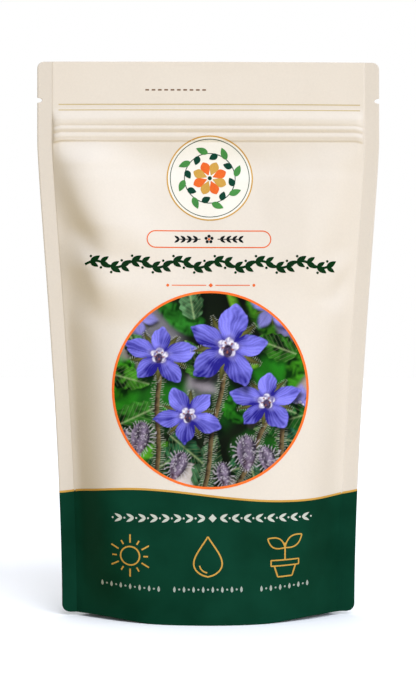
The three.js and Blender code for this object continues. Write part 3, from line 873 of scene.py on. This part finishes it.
def paint_hairs(distance, along, reach, seed, pale="#b4b7a6"):
    """Fine pale hairs that stand out from an edge, 0.7 mm apart."""
    rank = along * 8.5 + 5 * hills(2.0, seed)
    strand = rise(np.sin(rank), 0.35, 0.95)
    length = reach * (0.45 + 0.9 * hills(0.9, seed + 1))
    over(0.62 * strand * edge(distance + length, 0.7) * edge(0.5 - distance, 0.8), hue(pale))


def paint_stem(x0, z0, x1, z1, width, dark, light, blur=0.3):
    """A hairy stem, lit from the right."""
    length = math.hypot(x1 - x0, z1 - z0)
    along, across = turned(x0, z0, math.degrees(math.atan2(z1 - z0, x1 - x0)))
    across = across + 0.5 * np.sin(along / 5)
    within = edge(along, 1) * edge(length - along, 1)
    distance = np.where(within > 0.5, width / 2 - np.abs(across), -9)
    over(0.5 * edge(distance + 0.3, 2.2), hue("#070906"))
    if blur < 1:
        paint_hairs(distance, along, 1.6, 77)
    colour = between(hue(dark), hue(light), 0.45 - across / width + 0.5 * (hills(1.1, 78) - 0.5))
    over(edge(width / 2 - np.abs(across), blur) * within, colour)


def paint_bud(x, z, length, width, degrees, seed):
    """A drooping bud: a plum-grey teardrop with paler ribs, in a halo of fine white hairs."""
    along, across = turned(x, z, degrees)
    u = np.clip(along / length, 0, 1)
    outline = width / 2 * np.sin(math.pi * u**0.8) ** 0.7
    past_tip = np.maximum(np.abs(along - length / 2) - length / 2, 0)
    distance = outline - np.abs(across) - past_tip * 3
    over(0.55 * edge(distance + 0.9, 2.4), hue("#0a0c0b"))
    around = np.arctan2(across, (along - length / 2) * width / length) * width / 2
    paint_hairs(distance, around, 2.3, seed, "#c9c3cb")
    ribs = 0.5 + 0.5 * np.sin(across / (outline + 0.6) * 5.2 + 0.8 * hills(3, seed))
    tone = 0.12 + 0.5 * ribs - 0.28 * across / width + 0.45 * (hills(0.8, seed) - 0.5)
    colour = between(hue("#25202b"), hue("#9a8aa6"), tone)
    colour = between(colour, hue("#7c4a52"), 0.5 * hills(2.2, seed + 5) * rise(u, 0.5, 1))
    over(edge(distance, 0.5), colour)
    over(0.34 * edge(distance, 1.6) * (hills(0.5, seed + 3) > 0.68), hue("#ddd6e0"))


def paint_flower(x, z, radius, turn, squeeze=1.0, lean=0.0, blur=0.35, pale=0.0, seed=5):
    """Five broad petals, narrow olive sepals between them, and a pale throat with a dark cone in it."""
    along, across = turned(x, z, lean)
    across = across / squeeze
    for shadow in (True, False):
        down = 0.13 * radius if shadow else 0.0
        px, pz = along - 0.5 * down, across + 1.3 * down
        reach = np.hypot(px, pz)
        angle = np.arctan2(pz, px) - math.radians(turn)
        angle = angle + 0.1 * (hills(7, seed + 9) - 0.5) + 0.06 * (hills(2.4, seed + 8) - 0.5)
        petal = np.rint(angle / (2 * math.pi / 5))
        off = angle - petal * 2 * math.pi / 5
        spread = np.clip(np.cos(off * 2.42), 0, 1)
        own_length = 1 + 0.09 * np.sin(petal * 2.3 + seed)
        lobe = radius * own_length * (0.26 + 0.64 * spread**0.62 + 0.1 * np.exp(-((off / 0.11) ** 2)))
        lobe = lobe + 0.035 * radius * (hills(1.6, seed + 4) - 0.5)
        if shadow:
            over(0.8 * edge(lobe - reach, 0.3 * radius), hue("#05070a"))
            continue
        from_gap = math.pi / 5 - np.abs(off)
        sepal_reach = 0.86 * radius
        sepal_half = 0.085 * radius * np.sin(math.pi * np.clip(reach / sepal_reach, 0, 1) ** 0.8)
        sepal = np.where(reach < sepal_reach, sepal_half - from_gap * reach, -9)
        if blur < 1:
            paint_hairs(sepal, reach, 0.9, seed + 6)
        over(edge(sepal, blur), between(hue("#1d2110"), hue("#6f6d38"), 0.15 + 9 * sepal / radius))
        part = reach / np.maximum(lobe, 0.01)
        facing = np.cos(petal * 2 * math.pi / 5 + math.radians(turn) - 0.9)
        fold = np.where(petal % 2 == 0, 1, -1) * np.sin(off * 2.4)
        tone = 0.36 + 0.2 * facing + 0.3 * fold + 0.16 * spread
        tone -= 0.3 * np.exp(-((off / 0.05) ** 2)) * (part < 0.93)
        tone += 0.12 * np.sin(off * 52 + 4 * hills(2.5, seed)) + 0.5 * (hills(3.2, seed + 2) - 0.5)
        tone -= 0.45 * np.exp(-((from_gap * reach / (0.07 * radius)) ** 2))
        colour = between(hue("#262184"), hue("#8e8cfb"), tone)
        colour = between(colour, hue("#b7b4fb"), 0.6 * rise(-part, -0.44, -0.14))
        colour = colour + pale * (hue("#a5a2e0") - colour)
        over(edge(lobe - reach, blur) * (1 - 0.25 * pale), colour)
        star = radius * (0.17 + 0.08 * spread)
        over(0.6 * edge(star * 1.25 - reach, 0.1 * radius), hue("#4a3f8f"))
        over(edge(star - reach, 0.6), between(hue("#6f66a0"), hue("#f1eef9"), 1.3 * hills(0.8, seed) - 0.1))
        cone = np.hypot(px * 1.5, pz + 0.09 * radius)
        over(edge(radius * 0.16 - cone, 0.6), between(hue("#1a1428"), hue("#5a4a6c"), hills(0.5, seed + 1)))
        stamens = rise(np.cos((angle + 0.6) * 5), 0.5, 0.95) * edge(radius * 0.15 - reach, 0.3)
        over(stamens * edge(reach - 0.08 * radius, 0.3), hue("#8a4f44"))


# Out of focus behind: dark soil and shade, dry pale stalks, and leaves.
paint[:] = between(hue("#070708"), hue("#152011"), hills(9, 21))
for x, z, radius, shade in (
    (-24, 22, 13, "#77767d"), (-33, 10, 9, "#8d8782"), (29, 17, 9, "#6d675f"), (33, 2, 10, "#c3b0a8"),
    (-8, -31, 8, "#d9cfc9"), (12, -35, 6, "#a89b94"), (-32, -19, 10, "#1c5a14"), (30, -22, 10, "#2d7d1c"),
    (-36, 1, 10, "#2c8a1c"), (17, -24, 9, "#1b5a1a"), (0, -6, 11, "#164a17"), (-17, -4, 10, "#216a1a"),
    (24, 8, 9, "#247a1a"), (18, -7, 6, "#b9a8a2"), (-3, 2, 5, "#8f8890"), (31, 27, 6, "#8784e8")):
    patch = hills(4, 31)
    distance = radius - np.hypot(X - x, Z - z) + 3 * (patch - 0.5)
    over(edge(distance, 7), between(hue(shade) * 0.62, hue(shade), patch))
for x, z, length, width, degrees, light in (
    (14, 34, 26, 6, -58, "#4f9a22"), (37, 20, 24, 9, -112, "#3f8f1c"), (-37, -3, 17, 10, 60, "#3fa01a"),
    (-32, -34, 22, 11, 42, "#58a828"), (22, -37, 20, 10, 60, "#6fb92c"), (-2, 22, 21, 10, 152, "#2f8028"),
    (4, -8, 20, 11, 10, "#2f8a20"), (-20, -8, 16, 9, -20, "#2f8420")):
    paint_leaf(x, z, length, width, degrees, "#072c06", light, blur=2.2)
paint_stem(7, 40, 17, 8, 3.2, "#24500f", "#74b02c", blur=1.6)
paint_flower(23, 30, 8, 20, blur=2.4, pale=0.45)
paint_flower(-27, 27, 7, 60, blur=2.8, pale=0.5)
paint_flower(33, -6, 7, 10, blur=2.6, pale=0.4)

# In focus: leaves, stems and buds, and the flowers over them.
for number, (x, z, length, width, degrees, light) in enumerate((
    (-36, -14, 20, 11, 25, "#3f8a2c"), (-4, -38, 22, 10.5, 74, "#4a7a52"), (6, -30, 24, 12, 14, "#2f6a44"),
    (37, -9, 22, 12, 195, "#2f7a2c"), (-24, -32, 22, 10, 34, "#3d7a4c"), (-2, 4, 16, 10, 118, "#4c9030"),
    (4, 8, 18, 11, 38, "#4f8f2e"), (-38, 6, 16, 9, -15, "#4f9f2a"), (32, 13, 17, 10, 160, "#3f8a26"),
    (-15, -17, 16, 9, -40, "#356f48"), (17, -3, 16, 10, -22, "#2f7438"), (12, -18, 17, 10, -75, "#3b7150"),
    (-6, 26, 14, 9, 100, "#6a9f6a"), (-30, 20, 12, 8, -60, "#5f9a5c"), (24, -18, 15, 9, -10, "#2c6648"))):
    paint_leaf(x, z, length, width, degrees, "#041a07", light, seed=40 + 3 * number)
for x0, z0, x1, z1 in ((-3, -38, 5, 8), (-20, -30, -19, 8), (9, -36, 22, -10), (24, -36, 27, -14)):
    paint_stem(x0, z0, x1, z1, 1.7, "#241a14", "#7d6a48")
for number, (x, z, length, width, degrees) in enumerate((
    (-31, -15, 9, 5, -125), (-25, -12, 12.5, 6.8, -100), (19, -21, 11, 5.8, -68), (13, -17, 13, 7.2, -88),
    (-10, -23, 11, 6, -112), (4, -27, 9, 5, -80))):
    paint_bud(x, z, length, width, degrees, 90 + number)
paint_flower(-19, 12.5, 13.5, 96, squeeze=0.86, lean=-12, seed=61)
paint_flower(20.5, -4.5, 13.5, 70, squeeze=0.82, lean=18, seed=62)
paint_flower(-8.5, -9.5, 12.5, 110, squeeze=0.9, lean=8, seed=63)
paint_flower(6.5, 15.5, 16.5, 84, squeeze=0.92, lean=-6, seed=64)
PRINT_STRENGTH = 0.87
paint *= PRINT_STRENGTH

inks = picture.data.color_attributes.new("painted_inks", "FLOAT_COLOR", "POINT")
inks.data.foreach_set("color", np.column_stack([paint, np.ones(len(paint))]).ravel())


def process_inks(name):
    """Four process inks under the matt film. The painted colours carry a mottle of 0.5 mm, drawn coarse."""
    material, tree, shader = new_material(name)
    place_mm = object_millimetres(tree)
    painted = add_node(tree, "ShaderNodeAttribute", {"attribute_name": "painted_inks"})
    mottle = add_node(tree, "ShaderNodeTexNoise", inputs={
        "Vector": place_mm, "Scale": 1 / 0.5, "Detail": 2.0})
    tone = add_node(tree, "ShaderNodeMapRange", inputs={
        "Value": mottle.outputs["Fac"], "From Min": 0.3, "From Max": 0.7, "To Min": 0.94, "To Max": 1.06})
    colour = add_node(tree, "ShaderNodeHueSaturation", inputs={
        "Color": painted.outputs["Color"], "Value": tone.outputs["Result"]})
    rough = add_node(tree, "ShaderNodeMapRange", inputs={
        "Value": mottle.outputs["Fac"], "From Min": 0.3, "From Max": 0.7, "To Min": 0.56, "To Max": 0.64})
    set_finish(tree, shader, colour.outputs["Color"], rough, 1.5)
    shader.inputs["Specular IOR Level"].default_value = 0.02
    return material


picture.data.materials.append(process_inks("Four-colour gravure print"))
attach(picture, "root")
RING_RADIUS = 36.2
ring = bmesh.new()
line(ring, circle(PICTURE_X, PICTURE_Z, RING_RADIUS), 0.88, lift=2 * INK_LIFT)
bright_orange_ink = gravure_ink("Bright orange gravure ink", "#e06526", "#ec7332")
lay_print("printed_picture_ring", ring, on_front, [bright_orange_ink])

# ---- Lower band ----
# The green foot of the pouch: a gold line along its wavy top, a row of sprigs in grey-white, three line
# drawings in gold (a sun, a drop of water, a seedling in its pot), and a row of small leaves and dots under
# each.

GOLD_LINE = 0.75
DRAWN_LINE = 0.55
band = bmesh.new()
wave_end = half_chord(WAVE_Z[0]) + SIDE_SEAL - 0.05
wave_x = np.linspace(-wave_end, wave_end, 200)
wave_z = np.polyval(WAVE, wave_x)
line(band, np.stack([wave_x, wave_z], axis=-1), GOLD_LINE, ink=0)
SPRIG_Z = 38.9
SPRIG_PITCH = 4.35
for number in range(-8, 9):
    middle = 0.95 + SPRIG_PITCH * number
    if number == 0:
        dot(band, middle, SPRIG_Z, 1.5, ink=1, sides=4)
        continue
    outwards = 1 if number > 0 else -1
    leaf(band, (middle - 1.6 * outwards, SPRIG_Z), (middle + 1.2 * outwards, SPRIG_Z + 1.5), 1.05, ink=1)
    leaf(band, (middle - 1.6 * outwards, SPRIG_Z), (middle + 1.2 * outwards, SPRIG_Z - 1.5), 1.05, ink=1)
    dot(band, middle + 1.9 * outwards, SPRIG_Z, 0.36, ink=1)

SUN_X, SUN_Z = -29.3, 24.8
SUN_RADIUS = 3.5
RAY_START, SHORT_RAY_END, LONG_RAY_END = 4.9, 6.6, 8.0
line(band, circle(SUN_X, SUN_Z, SUN_RADIUS), DRAWN_LINE, step=0.5)
for number in range(12):
    ray_start = polar(SUN_X, SUN_Z, RAY_START, 30 * number)
    ray_end = polar(SUN_X, SUN_Z, LONG_RAY_END if number % 2 else SHORT_RAY_END, 30 * number)
    line(band, [ray_start, ray_end], DRAWN_LINE, step=0.5)

DROP_X, DROP_Z = -0.8, 22.9
DROP_HALF_WIDTH = 5.2
DROP_FOOT = -5.2
DROP_HEIGHT = 14.6
up_flank = np.linspace(0, 1, 30)
flank_x = DROP_HALF_WIDTH * np.sin(math.pi * up_flank**0.62) ** 1.1
flank_z = DROP_FOOT + DROP_HEIGHT * up_flank
drop_x = np.concatenate([flank_x, -flank_x[::-1]])
drop_z = np.concatenate([flank_z, flank_z[::-1]])
line(band, np.stack([DROP_X + drop_x, DROP_Z + drop_z], axis=-1), DRAWN_LINE, step=0.5)
line(band, circle(DROP_X, DROP_Z - 0.6, 3.1, 190, 265), 0.5, step=0.4)

POT_X, POT_Z = 27.6, 17.0
RIM_HALF_WIDTH = 5.2
RIM_LOW, RIM_HIGH = 4.1, 6.2
SHOOT_HEIGHT = 12.6
rim = [
    (-RIM_HALF_WIDTH, RIM_HIGH), (RIM_HALF_WIDTH, RIM_HIGH), (RIM_HALF_WIDTH, RIM_LOW),
    (-RIM_HALF_WIDTH, RIM_LOW), (-RIM_HALF_WIDTH, RIM_HIGH)]
bowl = [(-4.0, RIM_LOW), (-2.7, 0), (2.7, 0), (4.0, RIM_LOW)]
line(band, np.add(rim, (POT_X, POT_Z)), 0.5, step=0.2)
line(band, np.add(bowl, (POT_X, POT_Z)), DRAWN_LINE, step=0.4)
line(band, [(POT_X, POT_Z + RIM_HIGH), (POT_X, POT_Z + SHOOT_HEIGHT)], DRAWN_LINE, step=0.5)
for side in (-1, 1):
    reach = np.linspace(0, 1, 16)
    swell = np.sin(math.pi * reach) ** 0.9
    climb = 4.6 if side > 0 else 3.4
    for bow in (-1, 1):
        blade_x = POT_X + side * 6.4 * reach - bow * side * 1.1 * swell
        blade_z = POT_Z + 10.8 + climb * reach + bow * 1.6 * swell
        line(band, np.stack([blade_x, blade_z], axis=-1), 0.5, step=0.4)

MARK_Z = 13.1
MARK_PITCH = 1.75
for middle, marks in ((SUN_X, 13), (DROP_X, 15), (POT_X, 11)):
    for number in range(marks):
        mark_x = middle + MARK_PITCH * (number - (marks - 1) / 2)
        if number % 2:
            dot(band, mark_x, MARK_Z, 0.36, ink=2)
        else:
            leaf(band, (mark_x, MARK_Z - 1.1), (mark_x, MARK_Z + 1.1), 0.95, ink=2)
grey_white_ink = gravure_ink("Grey-white gravure ink", "#b3b7ae", "#bdc1b8")
pale_green_ink = gravure_ink("Pale grey-green gravure ink", "#98a29b", "#a2aba4")
lay_print("printed_lower_band", band, on_front, [gold_ink, grey_white_ink, pale_green_ink])

# ---- Back printing ----
# The back repeats the gold line along the top of the green. Above it a green frame holds tan rules to write
# on and a single sprig over them, all in the same gravure ink.

FRAME_HALF_WIDTH = 40
FRAME_BOTTOM = 66
FRAME_TOP = 146
WRITING_RULES = 9
WRITING_HALF_WIDTH = 33
RULE_PITCH = 6.4
SPRIG_FOOT, SPRIG_TOP = 130.5, 141
back_print = bmesh.new()
line(back_print, np.stack([wave_x, np.polyval(WAVE, -wave_x)], axis=-1), GOLD_LINE, ink=0)
frame_path = [
    (-FRAME_HALF_WIDTH, FRAME_BOTTOM), (FRAME_HALF_WIDTH, FRAME_BOTTOM), (FRAME_HALF_WIDTH, FRAME_TOP),
    (-FRAME_HALF_WIDTH, FRAME_TOP), (-FRAME_HALF_WIDTH, FRAME_BOTTOM)]
line(back_print, frame_path, 0.5, ink=1)
for number in range(WRITING_RULES):
    height = FRAME_BOTTOM + 8 + RULE_PITCH * number
    line(back_print, [(-WRITING_HALF_WIDTH, height), (WRITING_HALF_WIDTH, height)], 0.3, ink=2)
line(back_print, [(0, SPRIG_FOOT), (0, SPRIG_TOP)], 0.45, ink=1)
for number in range(3):
    leaf_z = SPRIG_FOOT + 1 + 3 * number
    for side in (-1, 1):
        leaf(back_print, (0, leaf_z), (side * 5.2, leaf_z + 3.3), 1.9, ink=3)
lay_print("printed_back", back_print, on_back, [gold_ink, green_ink, tan_ink, leaf_ink])

# ---- Zip ----
# Two extruded polyethylene strips, one with two channels and one with two ribs that snap into them. Natural
# polyethylene is milky and lets some light through.


def natural_polyethylene(name):
    """Extruded strip: fine lines along it, 0.5 mm apart, and cloudy depth."""
    material, tree, shader = new_material(name)
    place_mm = object_millimetres(tree)
    drawn = add_node(tree, "ShaderNodeMapping", inputs={"Vector": place_mm, "Scale": (0.05, 2.0, 2.0)})
    lines = add_node(tree, "ShaderNodeTexNoise", inputs={
        "Vector": drawn.outputs["Vector"], "Scale": 1.0, "Detail": 2.0})
    cloud = add_node(tree, "ShaderNodeTexNoise", inputs={"Vector": place_mm, "Scale": 1 / 6, "Detail": 2.0})
    colour = add_node(tree, "ShaderNodeMix", {"data_type": "RGBA"}, {
        "Factor": cloud.outputs["Fac"], 6: linear("#d6d4c9"), 7: linear("#e6e4dc")})
    rough = add_node(tree, "ShaderNodeMapRange", inputs={
        "Value": lines.outputs["Fac"], "From Min": 0.3, "From Max": 0.7, "To Min": 0.3, "To Max": 0.42})
    ridges = add_node(tree, "ShaderNodeBump", inputs={
        "Strength": 0.3, "Distance": 0.03 * MM, "Height": lines.outputs["Fac"]})
    set_finish(tree, shader, colour.outputs[2], rough, 1.51, ridges)
    shader.inputs["Subsurface Weight"].default_value = 0.4
    shader.inputs["Subsurface Scale"].default_value = 0.6 * MM
    return material


strip_plastic = natural_polyethylene("Natural polyethylene, extruded")
for name in ("zip_groove_strip", "zip_ridge_strip"):
    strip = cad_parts[name]
    strip.data.materials.clear()
    strip.data.materials.append(strip_plastic)

# ---- Seeds ----
# The filling: dry seeds, dark brown nutlets with a dull, ribbed coat. They are poured in loose, so they lie
# at all angles, and the closed film hides them.


def seed_husk(name):
    """Dry seed coat: blotches of two browns, 2 mm across, and shallow ribs 0.5 mm apart."""
    material, tree, shader = new_material(name)
    place_mm = object_millimetres(tree)
    blotch = add_node(tree, "ShaderNodeTexNoise", inputs={"Vector": place_mm, "Scale": 1 / 2, "Detail": 3.0})
    ribs = add_node(tree, "ShaderNodeTexNoise", inputs={"Vector": place_mm, "Scale": 1 / 0.5, "Detail": 3.0})
    colour = add_node(tree, "ShaderNodeMix", {"data_type": "RGBA"}, {
        "Factor": blotch.outputs["Fac"], 6: linear("#1d1511"), 7: linear("#4a382b")})
    rough = add_node(tree, "ShaderNodeMapRange", inputs={
        "Value": ribs.outputs["Fac"], "From Min": 0.3, "From Max": 0.7, "To Min": 0.68, "To Max": 0.85})
    relief = add_node(tree, "ShaderNodeBump", inputs={
        "Strength": 0.6, "Distance": 0.12 * MM, "Height": ribs.outputs["Fac"]})
    set_finish(tree, shader, colour.outputs[2], rough, 1.5, relief)
    return material


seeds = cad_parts["seed_fill"]
seeds.data.materials.clear()
seeds.data.materials.append(seed_husk("Dry seed coat"))

# ---- Studio ----
# The pouch stands on a plain white floor in an even white surround. A large soft key light stands in front at
# its right, a soft light hangs overhead, and a fill light keeps the back from going dark.

FLOOR_SIZE = 6
floor_bm = bmesh.new()
bmesh.ops.create_grid(floor_bm, x_segments=1, y_segments=1, size=FLOOR_SIZE)
floor = to_piece("floor", floor_bm)
floor_material, floor_tree, floor_shader = new_material("White studio paper")
# The paper is seen white, and its bounce on the pouch is kept low and warm, as from a floor a good way off.
floor_seen = add_node(floor_tree, "ShaderNodeLightPath").outputs["Is Camera Ray"]
floor_colour = add_node(floor_tree, "ShaderNodeMix", {"data_type": "RGBA"}, {
    "Factor": floor_seen, 6: linear("#d8c495"), 7: linear("#fcfcfc")})
floor_tree.links.new(floor_colour.outputs[2], floor_shader.inputs["Base Color"])
floor_shader.inputs["Specular IOR Level"].default_value = 0.0
floor.data.materials.append(floor_material)


def soft_light(name, strength, spread, colour, towards):
    """A light as wide as a large cloth, with its spread in degrees, and the way from the pouch towards it."""
    lamp = bpy.data.lights.new(name, "SUN")
    lamp.energy = strength * math.pi
    lamp.angle = math.radians(spread)
    lamp.color = linear(colour)[:3]
    light = bpy.data.objects.new(name, lamp)
    bpy.context.collection.objects.link(light)
    light.rotation_euler = towards.to_track_quat("Z", "Y").to_euler()
    return lamp


KEY_RIGHT = math.radians(20)
KEY_HEIGHT = math.radians(30)
towards_key = Vector((
    math.sin(KEY_RIGHT) * math.cos(KEY_HEIGHT),
    -math.cos(KEY_RIGHT) * math.cos(KEY_HEIGHT),
    math.sin(KEY_HEIGHT)))
soft_light("soft key", 1.065, 50, "#eff4ff", towards_key)
soft_light("soft overhead", 0.48, 70, "#fffdf7", Vector((0, 0, 1)))
back_fill = soft_light("back fill", 0.5, 90, "#ffffff", Vector((-0.35, 0.9, 0.25)))
back_fill.use_shadow = False

# The surround looks white. Its light on the pouch is daylight that comes from the right.
SURROUND_STRENGTH = 0.455
world = bpy.data.worlds.new("studio surround")
bpy.context.scene.world = world
world.use_nodes = True
sky = world.node_tree
background = sky.nodes["Background"]
direction = add_node(sky, "ShaderNodeSeparateXYZ", inputs={
    0: add_node(sky, "ShaderNodeTexCoord").outputs["Generated"]})
fill = add_node(sky, "ShaderNodeMapRange", inputs={
    "Value": direction.outputs["X"], "From Min": -0.8, "From Max": 0.8, "To Min": 0.0,
    "To Max": SURROUND_STRENGTH})
seen = add_node(sky, "ShaderNodeLightPath").outputs["Is Camera Ray"]
strength = add_node(sky, "ShaderNodeMix", {"data_type": "FLOAT"}, {
    "Factor": seen, 2: fill.outputs["Result"], 3: 1.0})
surround = add_node(sky, "ShaderNodeMix", {"data_type": "RGBA"}, {
    "Factor": seen, 6: linear("#c4d8ff"), 7: linear("#ffffff")})
sky.links.new(surround.outputs[2], background.inputs["Color"])
sky.links.new(strength.outputs[0], background.inputs["Strength"])

# ---- Camera ----
# A long lens 0.7 m away, level with the middle of the pouch and a little to its left, so that the front is
# seen almost square on.

IMAGE_HEIGHT = 687
FOCAL_PIXELS = 1842.4
SENSOR_WIDTH = 36
CAMERA_PLACE = Vector((-0.0152, -0.7, 0.1))
CAMERA_AIM = Vector((-0.0002, 0, 0.103))
camera_data = bpy.data.cameras.new("camera")
camera_data.sensor_width = SENSOR_WIDTH
camera_data.lens = FOCAL_PIXELS * SENSOR_WIDTH / IMAGE_HEIGHT
camera = bpy.data.objects.new("camera", camera_data)
bpy.context.collection.objects.link(camera)
camera.location = CAMERA_PLACE
camera.rotation_euler = (CAMERA_AIM - CAMERA_PLACE).to_track_quat("-Z", "Y").to_euler()
bpy.context.scene.camera = camera
bpy.context.scene.view_settings.view_transform = "Standard"
